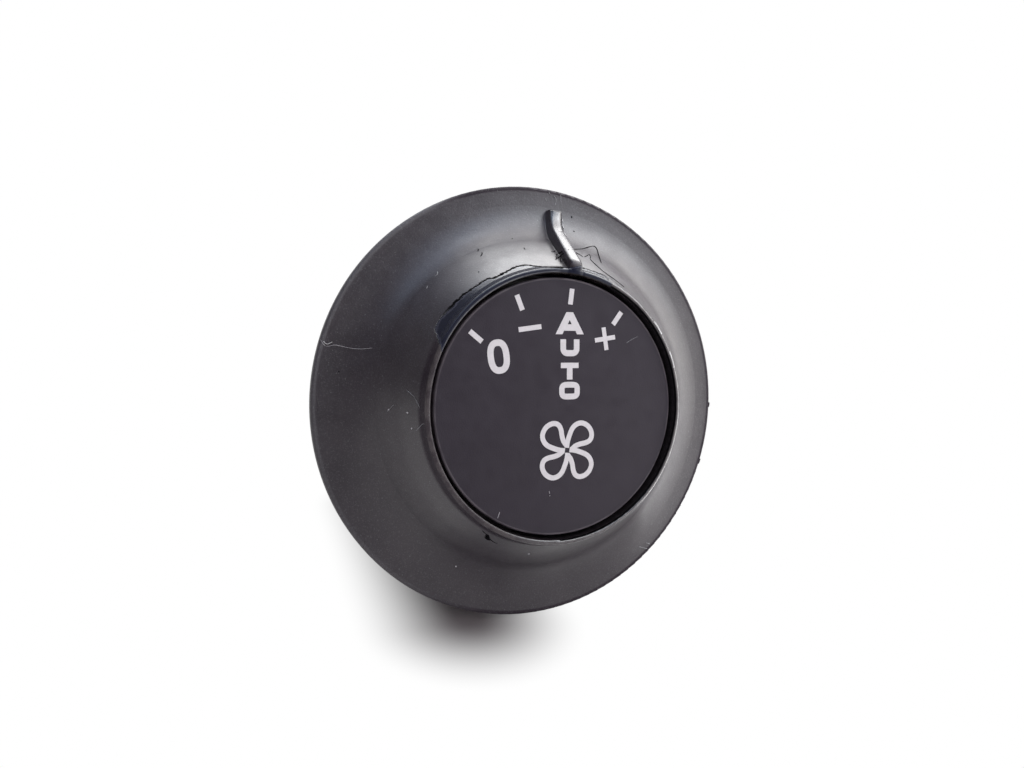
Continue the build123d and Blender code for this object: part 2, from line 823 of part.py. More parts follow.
# Rear cover: snap-in cover with the connector's shroud
with BuildPart() as rear_cover:
    with BuildSketch(front_plane(cover_front)):
        Circle(barrel_radius)
    extrude(amount=-cover_thickness)
    fillet(rear_cover.edges().group_by(Axis.Y)[-1], cover_edge)
    # Ring sections that press the contact base home, and the hooks' fingers between them
    with BuildSketch(front_plane(cover_front)):
        for clock in clip_clocks:
            add(centred_sector(cover_ring - cover_wall, cover_ring, clock, push_angle))
    extrude(amount=base_back - cover_front)
    finger_front = window_back + window_length
    with BuildSketch(front_plane(cover_front)):
        for clock in key_rib_clocks:
            add(centred_sector(cover_ring - cover_wall, cover_ring, clock, finger_angle))
    extrude(amount=finger_front - cover_front)
    for clock in key_rib_clocks:
        with BuildSketch(radial_plane(clock)):
            with BuildLine():
                hook_back = window_back + side_clearance
                hook_root = cover_ring - cover_wall / 2
                Polyline(
                    (hook_root, hook_back),
                    (cover_ring + hook_reach, hook_back),
                    (cover_ring + hook_reach, hook_back + hook_land),
                    (cover_ring, hook_back + hook_length),
                    (hook_root, hook_back + hook_length),
                    close=True,
                )
            make_face()
        extrude(amount=hook_width / 2, both=True)
    # Shroud round the socket
    with BuildSketch(front_plane(cover_back)):
        with Locations((0, -shroud_drop)):
            RectangleRounded(socket_width + 2 * shroud_wall, socket_height + 2 * shroud_wall, shroud_corner)
            RectangleRounded(socket_width, socket_height, socket_corner, mode=Mode.SUBTRACT)
    extrude(amount=-shroud_depth)
    # Guide ribs for the plug on the shroud's two ends
    with BuildSketch(front_plane(cover_back)):
        rib_place = socket_width / 2 + shroud_wall
        with Locations((-rib_place, -shroud_drop), (rib_place, -shroud_drop)):
            Rectangle(2 * shroud_key_height, shroud_key_width)
        with Locations((0, -shroud_drop)):
            Rectangle(socket_width + shroud_wall, socket_height, mode=Mode.SUBTRACT)
    extrude(amount=-shroud_depth)
    # Holes for the terminals, the lamp holder and its lugs
    with BuildSketch(front_plane(cover_front)):
        for place in terminal_places:
            with Locations((place, -shroud_drop)):
                Rectangle(terminal_width + 2 * side_clearance, terminal_thickness + 2 * side_clearance)
        Circle(holder_radius + holder_clearance)
        lug_span = 2 * (holder_radius + holder_lug_reach + holder_clearance)
        with Locations(Rotation(0, 0, 90)):
            Rectangle(lug_span, holder_lug_width + 2 * holder_clearance)
    extrude(amount=-cover_thickness, mode=Mode.SUBTRACT)

# Panel clips: folded spring strips that ramp outward and catch behind the panel
clips = []
for index, clock in enumerate(clip_clocks):
    with BuildPart(mode=Mode.PRIVATE) as clip:
        with BuildSketch(radial_plane(clock)):
            with BuildLine():
                leaf = clip_pocket_floor + clip_thickness / 2
                outer_leaf = leaf + clip_turn
                crest = outer_leaf + clip_rise
                FilletPolyline(
                    (barrel_bore + clip_thickness / 2, -clip_tab),
                    (leaf, -clip_tab),
                    (leaf, -clip_back),
                    (outer_leaf, -clip_back),
                    (crest, -clip_crest),
                    (crest - clip_release, -clip_front),
                    radius=clip_bend,
                )
            trace(line_width=clip_thickness)
        extrude(amount=clip_width / 2, both=True)
    clip.part.label = f"panel_clip_{index + 1}"
    clips.append(clip.part)

knob_ring.part.label = "knob_ring"
dial_cap.part.label = "dial_cap"
light_guide.part.label = "light_guide"
front_housing.part.label = "front_housing"
thrust_washer.part.label = "thrust_washer"
rotor.part.label = "rotor"
knob_circlip.part.label = "knob_circlip"
detent_spring.part.label = "detent_spring"
contact_board.part.label = "contact_board"
contact_tracks.part.label = "contact_tracks"
contact_base.part.label = "contact_base"
lamp_bulb.part.label = "lamp_bulb"
lamp_holder.part.label = "lamp_holder"
rear_cover.part.label = "rear_cover"

single_parts = [
    knob_ring.part,
    dial_cap.part,
    light_guide.part,
    front_housing.part,
    thrust_washer.part,
    rotor.part,
    knob_circlip.part,
    detent_spring.part,
    contact_board.part,
    contact_tracks.part,
    contact_base.part,
    lamp_bulb.part,
    lamp_holder.part,
    rear_cover.part,
]
os.makedirs("parts", exist_ok=True)
for piece in single_parts + wipers + resistors + terminals + clips:
    export_step(piece, f"parts/{piece.label}.step")
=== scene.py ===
import json
import math
from types import SimpleNamespace

import bpy
from mathutils import Matrix, Vector


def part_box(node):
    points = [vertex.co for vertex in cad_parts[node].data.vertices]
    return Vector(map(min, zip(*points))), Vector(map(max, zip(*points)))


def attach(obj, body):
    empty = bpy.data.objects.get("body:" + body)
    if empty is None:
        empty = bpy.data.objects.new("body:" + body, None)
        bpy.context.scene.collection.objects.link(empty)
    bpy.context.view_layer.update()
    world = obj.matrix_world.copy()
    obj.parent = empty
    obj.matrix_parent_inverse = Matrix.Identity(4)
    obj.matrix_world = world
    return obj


# Looks of the rotary fan switch: finishes, printed marks, wear and studio.
# Lengths are metres. A clock angle runs clockwise from the top, as the driver sees the dial.

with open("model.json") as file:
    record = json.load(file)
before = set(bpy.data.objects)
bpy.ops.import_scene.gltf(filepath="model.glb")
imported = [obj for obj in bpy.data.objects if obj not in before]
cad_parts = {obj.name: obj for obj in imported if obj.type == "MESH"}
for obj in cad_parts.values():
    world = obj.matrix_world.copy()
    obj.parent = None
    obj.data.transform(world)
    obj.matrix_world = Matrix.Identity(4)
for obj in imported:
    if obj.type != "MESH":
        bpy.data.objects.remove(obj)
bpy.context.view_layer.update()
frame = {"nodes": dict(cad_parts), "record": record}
nodes = frame["nodes"]

MM = 0.001

# Places read from the frame
ring_low, ring_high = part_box("knob_ring")
cap_low, cap_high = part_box("dial_cap")
cover_low, cover_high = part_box("rear_cover")
rim_radius = ring_high.x
rim_back = ring_high.y
lip_front = ring_low.y
cap_radius = cap_high.x
cap_front = cap_low.y


# Shader helpers


def new_material(name):
    """Material, its node tree, and the Principled shader that is joined to its output."""
    mat = bpy.data.materials.new(name)
    mat.use_nodes = True
    tree = mat.node_tree
    tree.nodes.clear()
    output = tree.nodes.new("ShaderNodeOutputMaterial")
    shader = tree.nodes.new("ShaderNodeBsdfPrincipled")
    tree.links.new(shader.outputs["BSDF"], output.inputs["Surface"])
    return mat, tree, shader


def plug(tree, socket, value):
    """Joins a socket to another one, or sets it to a constant."""
    if isinstance(value, bpy.types.NodeSocket):
        tree.links.new(value, socket)
    elif isinstance(value, tuple) and len(value) == 3 and socket.type == "RGBA":
        socket.default_value = (*value, 1.0)
    else:
        socket.default_value = value


def math_node(tree, operation, a, b=0.0):
    node = tree.nodes.new("ShaderNodeMath")
    node.operation = operation
    plug(tree, node.inputs[0], a)
    plug(tree, node.inputs[1], b)
    return node.outputs[0]


def plus(tree, a, b):
    return math_node(tree, "ADD", a, b)


def minus(tree, a, b):
    return math_node(tree, "SUBTRACT", a, b)


def times(tree, a, b):
    return math_node(tree, "MULTIPLY", a, b)


def most(tree, a, b):
    return math_node(tree, "MAXIMUM", a, b)


def least(tree, a, b):
    return math_node(tree, "MINIMUM", a, b)


def square(tree, a):
    return math_node(tree, "POWER", a, 2.0)


def rest_of(tree, share):
    """What a share leaves of the whole."""
    return minus(tree, 1.0, share)


def split(tree, vector):
    """The three coordinates of a vector."""
    parts = tree.nodes.new("ShaderNodeSeparateXYZ")
    plug(tree, parts.inputs[0], vector)
    return parts.outputs


def ramp(tree, value, low, high, start=0.0, end=1.0):
    """Smooth step of a value from start at low to end at high."""
    node = tree.nodes.new("ShaderNodeMapRange")
    node.interpolation_type = "SMOOTHSTEP"
    plug(tree, node.inputs["Value"], value)
    plug(tree, node.inputs["From Min"], low)
    plug(tree, node.inputs["From Max"], high)
    plug(tree, node.inputs["To Min"], start)
    plug(tree, node.inputs["To Max"], end)
    return node.outputs["Result"]


def mix_colour(tree, factor, a, b):
    node = tree.nodes.new("ShaderNodeMix")
    node.data_type = "RGBA"
    plug(tree, node.inputs[0], factor)
    plug(tree, node.inputs[6], a)
    plug(tree, node.inputs[7], b)
    return node.outputs[2]


def object_place(tree):
    """Place on the object, in metres."""
    return tree.nodes.new("ShaderNodeTexCoord").outputs["Object"]


def noise(tree, place, size, detail=2.0, roughness=0.5):
    """Noise whose lumps are about that size, from 0 to 1."""
    node = tree.nodes.new("ShaderNodeTexNoise")
    plug(tree, node.inputs["Vector"], place)
    plug(tree, node.inputs["Scale"], 1.0 / size)
    plug(tree, node.inputs["Detail"], detail)
    plug(tree, node.inputs["Roughness"], roughness)
    return node.outputs["Fac"]


def cells(tree, place, size):
    """Distance to the nearest of points scattered about that far apart, in shares of the spacing."""
    node = tree.nodes.new("ShaderNodeTexVoronoi")
    plug(tree, node.inputs["Vector"], place)
    plug(tree, node.inputs["Scale"], 1.0 / size)
    return node.outputs["Distance"]


def graph(tree, value, points):
    """Smooth line through given points, read at a value."""
    xs = [x for x, _ in points]
    ys = [y for _, y in points]
    share = ramp(tree, value, min(xs), max(xs))
    share.node.interpolation_type = "LINEAR"
    node = tree.nodes.new("ShaderNodeFloatCurve")
    plug(tree, node.inputs["Value"], share)
    line = node.mapping.curves[0]
    for i, (x, y) in enumerate(points):
        place = ((x - min(xs)) / (max(xs) - min(xs)), (y - min(ys)) / (max(ys) - min(ys)))
        if i == 0:
            line.points[0].location = place
        elif i == len(points) - 1:
            line.points[-1].location = place
        else:
            line.points.new(*place)
    node.mapping.update()
    return plus(tree, times(tree, node.outputs[0], max(ys) - min(ys)), min(ys))


def bump(tree, height, distance, strength=1.0, below=None):
    node = tree.nodes.new("ShaderNodeBump")
    plug(tree, node.inputs["Height"], height)
    plug(tree, node.inputs["Distance"], distance)
    plug(tree, node.inputs["Strength"], strength)
    if below is not None:
        plug(tree, node.inputs["Normal"], below)
    return node.outputs["Normal"]


def stretched(tree, place, along):
    """Place with one axis pressed together, for grain that runs along that axis."""
    node = tree.nodes.new("ShaderNodeMapping")
    plug(tree, node.inputs["Vector"], place)
    node.inputs["Scale"].default_value = along
    return node.outputs["Vector"]


def polar(tree, place):
    """Clock angle in degrees, distance from the axis and height in front of the panel."""
    x, y, z = split(tree, place)
    clock = times(tree, math_node(tree, "ARCTAN2", x, z), math.degrees(1))
    radius = math_node(tree, "SQRT", plus(tree, square(tree, x), square(tree, z)))
    return clock, radius, times(tree, y, -1.0)


# Finishes


def moulded(name, colour, roughness, grain=0.25 * MM, grain_depth=0.01 * MM, mottle=0.12, specular=0.5):
    """Moulded plastic: fine grain, slight mottling of its colour and sheen."""
    mat, tree, shader = new_material(name)
    place = object_place(tree)
    cloud = noise(tree, place, 6 * MM, 4.0)
    dark = tuple(c * (1 - mottle) for c in colour)
    light = tuple(min(c * (1 + mottle), 1.0) for c in colour)
    plug(tree, shader.inputs["Base Color"], mix_colour(tree, cloud, dark, light))
    rub = noise(tree, place, 1.5 * MM, 5.0, 0.6)
    plug(tree, shader.inputs["Roughness"], ramp(tree, rub, 0.3, 0.7, roughness - 0.05, roughness + 0.06))
    plug(tree, shader.inputs["Specular IOR Level"], specular)
    plug(tree, shader.inputs["Normal"], bump(tree, noise(tree, place, grain, 2.0), grain_depth))
    return mat


def metal(name, colour, roughness, tarnish, along=(1.0, 1.0, 1.0)):
    """Drawn or rolled metal: fine streaks and a patchy tarnish."""
    mat, tree, shader = new_material(name)
    place = object_place(tree)
    patches = ramp(tree, noise(tree, place, 2.5 * MM, 4.0), 0.35, 0.7)
    plug(tree, shader.inputs["Base Color"], mix_colour(tree, patches, colour, tarnish))
    plug(tree, shader.inputs["Metallic"], 1.0)
    streaks = noise(tree, stretched(tree, place, along), 0.12 * MM, 3.0)
    uneven = ramp(tree, streaks, 0.3, 0.7, roughness - 0.06, roughness + 0.1)
    plug(tree, shader.inputs["Roughness"], uneven)
    plug(tree, shader.inputs["Normal"], bump(tree, streaks, 0.0015 * MM))
    return mat


def clear(name, tint, roughness, flow=3 * MM):
    """Clear moulding with faint flow marks."""
    mat, tree, shader = new_material(name)
    place = object_place(tree)
    waves = noise(tree, place, flow, 3.0)
    faint = tuple(c * 0.93 for c in tint)
    plug(tree, shader.inputs["Base Color"], mix_colour(tree, waves, tint, faint))
    plug(tree, shader.inputs["Transmission Weight"], 0.92)
    plug(tree, shader.inputs["IOR"], 1.49)
    plug(tree, shader.inputs["Roughness"], ramp(tree, waves, 0.3, 0.7, roughness, roughness + 0.08))
    plug(tree, shader.inputs["Normal"], bump(tree, waves, 0.01 * MM))
    return mat


# Coating's peeled stretch along the collar's lip: its outer edge, clock angle and radius in mm
PEEL_EDGE = [
    (-66, 14.3), (-60, 15.3), (-55, 15.75), (-49, 15.65), (-42, 15.6), (-34, 15.5), (-30, 15.52),
    (-27, 15.3), (-23, 15.33), (-19, 15.44), (-15, 15.5), (-12, 15.4), (-9, 15.1), (-6, 14.95),
    (-2, 14.8), (4, 14.95), (9, 15.3), (15, 15.4), (20, 15.45), (23.5, 15.55), (24.3, 15.5), (24.8, 14.3),
]
PEEL_SMOOTH, PEEL_RAGGED = 14.4, 14.9
RAGGED = 0.07
PEEL_STEP = -0.1 * MM

# Pointer rib: its clock angle, half width, end, crown, and where its head runs into the lip
POINTER_CLOCK = 7.3
POINTER_HALF = 0.85 * MM
POINTER_END = 22.35 * MM
POINTER_CROWN = 220.0
HEAD_OUT, HEAD_IN, HEAD_EASE = 16.2 * MM, 15.5 * MM, 0.5 * MM
EASE = 0.1 * MM

# Rim, cove, handled collar, lip and bore
RIM_EDGE = rim_radius - 0.35 * MM
RIM_EASE = 0.3 * MM
COVE_FADE_IN, COVE_FADE_OUT, COVE_FADE = 20.4 * MM, 24.6 * MM, 0.28 * MM
HANDLED_OUT, HANDLED_IN = 17.2 * MM, 16.2 * MM
LEFT_LIP_OUT, LEFT_LIP_IN = 15.4 * MM, 15.1 * MM
LIP_EDGE = -lip_front - 0.22 * MM
LIP_MIDDLE, LIP_HALF, LIP_CROWN = 14.55 * MM, 0.3 * MM, 1000.0
BORE_OUT, BORE_IN = 14.4 * MM, 14.3 * MM

# Colours and roughness of the coating and of what lies under it, with a painted shadow for the peel's
# crack and a painted highlight along its edge
COAT_DARK = (0.0205, 0.0145, 0.0210)
COAT_LIGHT = (0.0275, 0.0205, 0.0275)
BARE_COLOUR = (0.011, 0.012, 0.026)
WALL_COLOUR = (0.016, 0.012, 0.013)
# Painted highlight: lighter colour just inside the peel's edge
PEEL_HIGHLIGHT_COLOUR = (0.10, 0.10, 0.14)
# Painted shadow: near-black colour in the crack at the peel's edge
CRACK_SHADOW_COLOUR = (0.004, 0.004, 0.005)
RUBBED_COLOUR = (0.07, 0.06, 0.065)
DUST_COLOUR = (0.11, 0.11, 0.12)
SATIN_SMOOTHEST, SATIN_ROUGHEST, GLOSSY = 0.33, 0.42, 0.16
RIM_ROUGHER = 0.22

# Depths and sizes of the coating's grain and dimples
GRAIN, GRAIN_DEPTH = 0.2 * MM, 0.012 * MM
DIMPLES, DIMPLE_DEPTH = 1.6 * MM, 0.014 * MM

# Bump distance for a height that is in metres already
IN_METRES = 1.0


def ring_masks(tree, place):
    """Distances on the ring, and shares from 0 to 1: where it is bare, cracked, handled and so on."""
    clock, radius, height = polar(tree, place)
    m = SimpleNamespace(radius=radius)

    # Distance beside the pointer's middle line and along it, on the ring's front only
    turn = times(tree, minus(tree, clock, POINTER_CLOCK), math.radians(1))
    m.beside = math_node(tree, "ABSOLUTE", times(tree, radius, math_node(tree, "SINE", turn)))
    reach = times(tree, radius, math_node(tree, "COSINE", turn))
    top_half = ramp(tree, reach, 0.0, 1 * MM)
    normal = tree.nodes.new("ShaderNodeTexCoord").outputs["Normal"]
    front = ramp(tree, split(tree, normal)["Y"], 0.15, 0.05)
    upper = times(tree, top_half, ramp(tree, reach, POINTER_END, POINTER_END - EASE))
    m.upper = times(tree, upper, front)
    m.on_rib = times(tree, m.upper, ramp(tree, m.beside, POINTER_HALF, POINTER_HALF - EASE))
    near_rib = ramp(tree, m.beside, POINTER_HALF + HEAD_EASE, POINTER_HALF)
    head = times(tree, ramp(tree, reach, HEAD_OUT, HEAD_IN), near_rib)
    m.head = times(tree, head, top_half)

    # Distance inside the peeled stretch's edge, in millimetres, a little ragged
    edge = graph(tree, clock, PEEL_EDGE)
    ragged = ramp(tree, noise(tree, place, 0.5 * MM, 4.0, 0.7), 0.3, 0.7, -RAGGED, RAGGED)
    ragged = times(tree, ragged, ramp(tree, edge, PEEL_SMOOTH, PEEL_RAGGED))
    across = minus(tree, plus(tree, edge, ragged), times(tree, radius, 1 / MM))
    m.bare = ramp(tree, across, -0.01, 0.03)
    # Painted shadow: a near-black, dull line in the crack just outside the peel's edge
    crack = times(tree, ramp(tree, across, -0.16, -0.09), ramp(tree, across, 0.08, 0.01))
    crack = times(tree, crack, ramp(tree, clock, -56.0, -47.0, 0.1, 1.0))
    m.crack = times(tree, crack, rest_of(tree, m.head))
    # Painted highlight: a lighter band just inside the peel's edge, where the coating's edge catches the
    # light
    m.flake = times(tree, ramp(tree, across, 0.04, 0.09), ramp(tree, across, 0.24, 0.14))

    # Lip, rubbed lighter in patches where the coating is left
    m.from_lip = math_node(tree, "ABSOLUTE", minus(tree, radius, LIP_MIDDLE))
    on_crest = ramp(tree, m.from_lip, LIP_HALF + EASE / 2, LIP_HALF - EASE / 2)
    m.on_lip = times(tree, on_crest, ramp(tree, height, LIP_EDGE - 0.3 * MM, LIP_EDGE))
    patches = ramp(tree, noise(tree, place, 1.1 * MM, 4.0), 0.4, 0.6, 0.35, 1.0)
    worn = times(tree, ramp(tree, height, LIP_EDGE, LIP_EDGE + 0.08 * MM), patches)
    m.worn = times(tree, worn, ramp(tree, across, 0.02, -0.05))

    # Bore, collar and rim, and the ring's right and left
    m.inside = ramp(tree, radius, BORE_OUT, BORE_IN)
    m.handled = ramp(tree, radius, HANDLED_OUT, HANDLED_IN)
    m.off_edge = ramp(tree, radius, RIM_EDGE, RIM_EDGE - RIM_EASE)
    m.right_side = times(tree, ramp(tree, clock, 20.0, 55.0), ramp(tree, clock, 170.0, 135.0))
    m.left_side = times(tree, ramp(tree, clock, -15.0, -35.0), ramp(tree, clock, -178.0, -135.0))
    left_lip = times(tree, ramp(tree, clock, -45.0, -70.0), ramp(tree, clock, -178.0, -150.0))
    m.left_lip = times(tree, left_lip, ramp(tree, radius, LEFT_LIP_OUT, LEFT_LIP_IN))
    return m


def ring_colour(tree, place, m):
    """Dusty coating, darker plastic where it has peeled off, a lip rubbed lighter, a painted shadow in
    the crack along the peel's edge and a painted highlight just inside it.
    """
    cloud = noise(tree, place, 5 * MM, 5.0, 0.6)
    colour = mix_colour(tree, ramp(tree, cloud, 0.35, 0.65), COAT_DARK, COAT_LIGHT)
    specks = ramp(tree, cells(tree, place, 1.1 * MM), 0.04, 0.07, 0.6, 0.0)
    powder = ramp(tree, noise(tree, place, 0.14 * MM, 3.0, 0.7), 0.5, 0.75, 0.0, 0.4)
    settled = ramp(tree, cells(tree, place, 0.45 * MM), 0.07, 0.12, 0.8, 0.0)
    settled = times(tree, settled, ramp(tree, noise(tree, place, 4 * MM, 3.0), 0.48, 0.62))
    for dust in (specks, powder, settled):
        colour = mix_colour(tree, dust, colour, DUST_COLOUR)
    under = mix_colour(tree, m.inside, BARE_COLOUR, WALL_COLOUR)
    colour = mix_colour(tree, m.bare, colour, under)
    # Painted highlight just inside the peel's edge
    colour = mix_colour(tree, times(tree, m.flake, 0.35), colour, PEEL_HIGHLIGHT_COLOUR)
    colour = mix_colour(tree, m.worn, colour, RUBBED_COLOUR)
    # Painted shadow in the crack along the peel's edge
    return mix_colour(tree, m.crack, colour, CRACK_SHADOW_COLOUR)


def ring_roughness(tree, place, m):
    """Satin coating, rougher at the rim and glossy where it has peeled off or is rubbed."""
    rub = noise(tree, place, 2 * MM, 6.0, 0.65)
    satin = ramp(tree, rub, 0.3, 0.7, SATIN_SMOOTHEST, SATIN_ROUGHEST)
    satin = minus(tree, satin, times(tree, m.handled, 0.05))
    satin = plus(tree, satin, ramp(tree, m.radius, RIM_EDGE - RIM_EASE, RIM_EDGE, 0.0, RIM_ROUGHER))
    rubbed = times(tree, most(tree, m.on_rib, m.on_lip), 0.5)
    glossy = most(tree, most(tree, m.bare, m.inside), rubbed)
    return plus(tree, times(tree, satin, rest_of(tree, glossy)), times(tree, glossy, GLOSSY))


def ring_sheen(tree, m):
    """Strength of reflections: weak on the rim's right edge, in cracks and on the pointer's head."""
    edge_sheen = ramp(tree, m.left_side, 0.0, 1.0, 0.1, 0.7)
    sheen = ramp(tree, m.off_edge, 0.0, 1.0, edge_sheen, 0.5)
    sheen = plus(tree, sheen, times(tree, m.on_rib, 0.25))
    sheen = plus(tree, sheen, times(tree, m.handled, 0.1))
    dull = most(tree, m.crack, times(tree, m.head, 0.85))
    dull = most(tree, dull, times(tree, m.bare, 0.45))
    dull = most(tree, dull, times(tree, m.left_lip, 0.8))
    return times(tree, sheen, rest_of(tree, dull))


def ring_relief(tree, place, m):
    """Grain, dimples, the pointer's crown, the cove's soft end, the rounded lip and the peel's step."""
    relief = bump(tree, noise(tree, place, GRAIN, 3.0, 0.6), GRAIN_DEPTH, m.off_edge)
    relief = bump(tree, noise(tree, place, DIMPLES, 3.0), DIMPLE_DEPTH, m.off_edge, relief)
    within = square(tree, least(tree, m.beside, POINTER_HALF))
    crown = times(tree, minus(tree, POINTER_HALF ** 2, within), POINTER_CROWN)
    relief = bump(tree, times(tree, crown, m.upper), IN_METRES, 1.0, relief)
    cove = ramp(tree, m.radius, COVE_FADE_IN, COVE_FADE_OUT, COVE_FADE, 0.0)
    relief = bump(tree, cove, IN_METRES, 1.0, relief)
    within = square(tree, least(tree, m.from_lip, LIP_HALF))
    rounding = times(tree, within, ramp(tree, m.right_side, 0.0, 1.0, -0.3 * LIP_CROWN, -LIP_CROWN))
    relief = bump(tree, rounding, IN_METRES, 1.0, relief)
    return bump(tree, m.bare, PEEL_STEP, 1.0, relief)


def coated_ring():
    """Satin soft coating over glossy plastic, with a peeled stretch along the lip."""
    mat, tree, shader = new_material("satin_coating")
    place = object_place(tree)
    masks = ring_masks(tree, place)
    plug(tree, shader.inputs["Base Color"], ring_colour(tree, place, masks))
    plug(tree, shader.inputs["Roughness"], ring_roughness(tree, place, masks))
    plug(tree, shader.inputs["Specular IOR Level"], ring_sheen(tree, masks))
    plug(tree, shader.inputs["Normal"], ring_relief(tree, place, masks))
    return mat


# The cap's colour, and the lighter colour of the painted highlight along its edge
CAP_COLOUR, CAP_PAINTED_HIGHLIGHT = (0.021, 0.0155, 0.024), (0.10, 0.085, 0.10)
CAP_EDGE_IN, CAP_EDGE_OUT = cap_radius - 0.30 * MM, cap_radius - 0.14 * MM


def cap_face():
    """Matt charcoal moulding with a painted highlight along its edge, lighter in patches."""
    mat = moulded("dial_charcoal", CAP_COLOUR, 0.43, 0.16 * MM, 0.01 * MM, specular=0.2)
    tree = mat.node_tree
    shader = tree.nodes["Principled BSDF"]
    place = object_place(tree)
    _, radius, _ = polar(tree, place)
    edge = ramp(tree, radius, CAP_EDGE_IN, CAP_EDGE_OUT)
    patchy = ramp(tree, noise(tree, place, 2.2 * MM, 5.0), 0.35, 0.65, 0.45, 1.0)
    plain = shader.inputs["Base Color"].links[0].from_socket
    # Painted highlight: a lighter colour in patches along the cap's edge
    rubbed = mix_colour(tree, times(tree, edge, patchy), plain, CAP_PAINTED_HIGHLIGHT)
    plug(tree, shader.inputs["Base Color"], rubbed)
    return mat


INK_DARK, INK_LIGHT = (0.52, 0.49, 0.52), (0.66, 0.62, 0.66)


def printed():
    """Pale pad-printed ink, slightly uneven."""
    mat, tree, shader = new_material("pale_ink")
    patchy = noise(tree, object_place(tree), 0.35 * MM, 4.0, 0.6)
    plug(tree, shader.inputs["Base Color"], mix_colour(tree, patchy, INK_DARK, INK_LIGHT))
    plug(tree, shader.inputs["Roughness"], 0.55)
    plug(tree, shader.inputs["Normal"], bump(tree, patchy, 0.006 * MM))
    return mat


# Rolled strip's streaks run along the knob's axis
ROLLED = (1.0, 0.1, 1.0)

finish = {
    "soft_black": coated_ring(),
    "dial_black": cap_face(),
    "housing_black": moulded("housing_black", (0.026, 0.026, 0.028), 0.48, 0.3 * MM, 0.02 * MM),
    "clear_acrylic": clear("clear_acrylic", (0.93, 0.96, 0.97), 0.06),
    "washer_white": moulded("washer_white", (0.72, 0.71, 0.67), 0.4),
    "spring_steel": metal("spring_steel", (0.26, 0.26, 0.27), 0.36, (0.18, 0.175, 0.17), ROLLED),
    "board_green": moulded("board_green", (0.03, 0.13, 0.06), 0.35, mottle=0.2),
    "copper": metal("copper", (0.72, 0.40, 0.24), 0.3, (0.45, 0.25, 0.16)),
    "resistor_body": moulded("resistor_body", (0.50, 0.38, 0.22), 0.3),
    "base_nylon": moulded("base_nylon", (0.42, 0.42, 0.39), 0.5),
    "rotor_nylon": moulded("rotor_nylon", (0.62, 0.61, 0.56), 0.45),
    "lamp_glass": clear("lamp_glass", (0.95, 0.97, 0.95), 0.02, 1.2 * MM),
    "holder_grey": moulded("holder_grey", (0.16, 0.165, 0.17), 0.5),
    "terminal_brass": metal("terminal_brass", (0.66, 0.64, 0.58), 0.3, (0.50, 0.42, 0.28), ROLLED),
}

slot_of = {row["node"]: row["material_slot"] for row in frame["record"]["subparts"]}
for name, node in nodes.items():
    node.data.materials.clear()
    node.data.materials.append(finish[slot_of[name]])


# Printed marks: flat shapes in units of the cap's radius, x to the right and z up
INK_LIFT = 0.012 * MM
ink = printed()


def mark(name, points, faces, lift=INK_LIFT):
    """Flat printed shape that lies on the cap."""
    mesh = bpy.data.meshes.new(name)
    mesh.from_pydata([(x * cap_radius, cap_front - lift, z * cap_radius) for x, z in points], [], faces)
    mesh.materials.append(ink)
    shape = bpy.data.objects.new(name, mesh)
    bpy.context.scene.collection.objects.link(shape)
    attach(shape, "housing")


def stroke(name, line, width, closed=False, lift=INK_LIFT):
    """Printed line of one width along a row of points."""
    count = len(line)
    points = []
    for i, (x, z) in enumerate(line):
        if closed:
            before, after = line[i - 1], line[(i + 1) % count]
        else:
            before, after = line[max(i - 1, 0)], line[min(i + 1, count - 1)]
        dx, dz = after[0] - before[0], after[1] - before[1]
        length = math.hypot(dx, dz)
        side_x, side_z = -dz / length * width / 2, dx / length * width / 2
        points += [(x + side_x, z + side_z), (x - side_x, z - side_z)]
    pairs = range(count if closed else count - 1)
    faces = [(2 * i, 2 * i + 1, (2 * i + 3) % (2 * count), (2 * i + 2) % (2 * count)) for i in pairs]
    mark(name, points, faces, lift)


def turned(points, centre, degrees):
    """Points turned counter-clockwise about a centre."""
    a = math.radians(degrees)
    cx, cz = centre
    c, s = math.cos(a), math.sin(a)
    return [(cx + (x - cx) * c - (z - cz) * s, cz + (x - cx) * s + (z - cz) * c) for x, z in points]


def oval(centre, width, height, power, count=64):
    """Rounded outline between an ellipse, at power 2, and a rectangle."""
    line = []
    for i in range(count):
        a = 2 * math.pi * i / count
        c, s = math.cos(a), math.sin(a)
        x = math.copysign(abs(c) ** (2 / power), c) * width / 2
        z = math.copysign(abs(s) ** (2 / power), s) * height / 2
        line.append((centre[0] + x, centre[1] + z))
    return line


def smooth(points, steps=8):
    """Catmull-Rom line through the points, from the first to the last."""
    padded = [points[0], *points, points[-1]]
    line = []
    for p0, p1, p2, p3 in zip(padded, padded[1:], padded[2:], padded[3:]):
        for i in range(steps):
            t = i / steps
            line.append(tuple(
                b + 0.5 * (c - a) * t
                + 0.5 * (2 * a - 5 * b + 4 * c - d) * t ** 2
                + 0.5 * (3 * b - a - 3 * c + d) * t ** 3
                for a, b, c, d in zip(p0, p1, p2, p3)
            ))
    return [*line, points[-1]]


# Scale: four ticks one setting apart, then the digit and the signs
STEP = 29.2
TICK_IN, TICK_OUT, TICK_WIDTH = 0.80, 0.923, 0.04
for i in range(4):
    a = math.radians(POINTER_CLOCK + STEP * (i - 2))
    ends = [(r * math.sin(a), r * math.cos(a)) for r in (TICK_IN, TICK_OUT)]
    stroke(f"print_tick_{i + 1}", ends, TICK_WIDTH)

ZERO_CENTRE = (-0.491, 0.391)
zero = oval(ZERO_CENTRE, 0.126, 0.21, 2.5)
stroke("print_zero", turned(zero, ZERO_CENTRE, 7.5), 0.05, closed=True)

MINUS_CENTRE = (-0.236, 0.607)
MINUS_HALF = 0.0945
minus_sign = [(MINUS_CENTRE[0] + side * MINUS_HALF, MINUS_CENTRE[1]) for side in (-1, 1)]
stroke("print_minus", turned(minus_sign, MINUS_CENTRE, 7.9), 0.038)

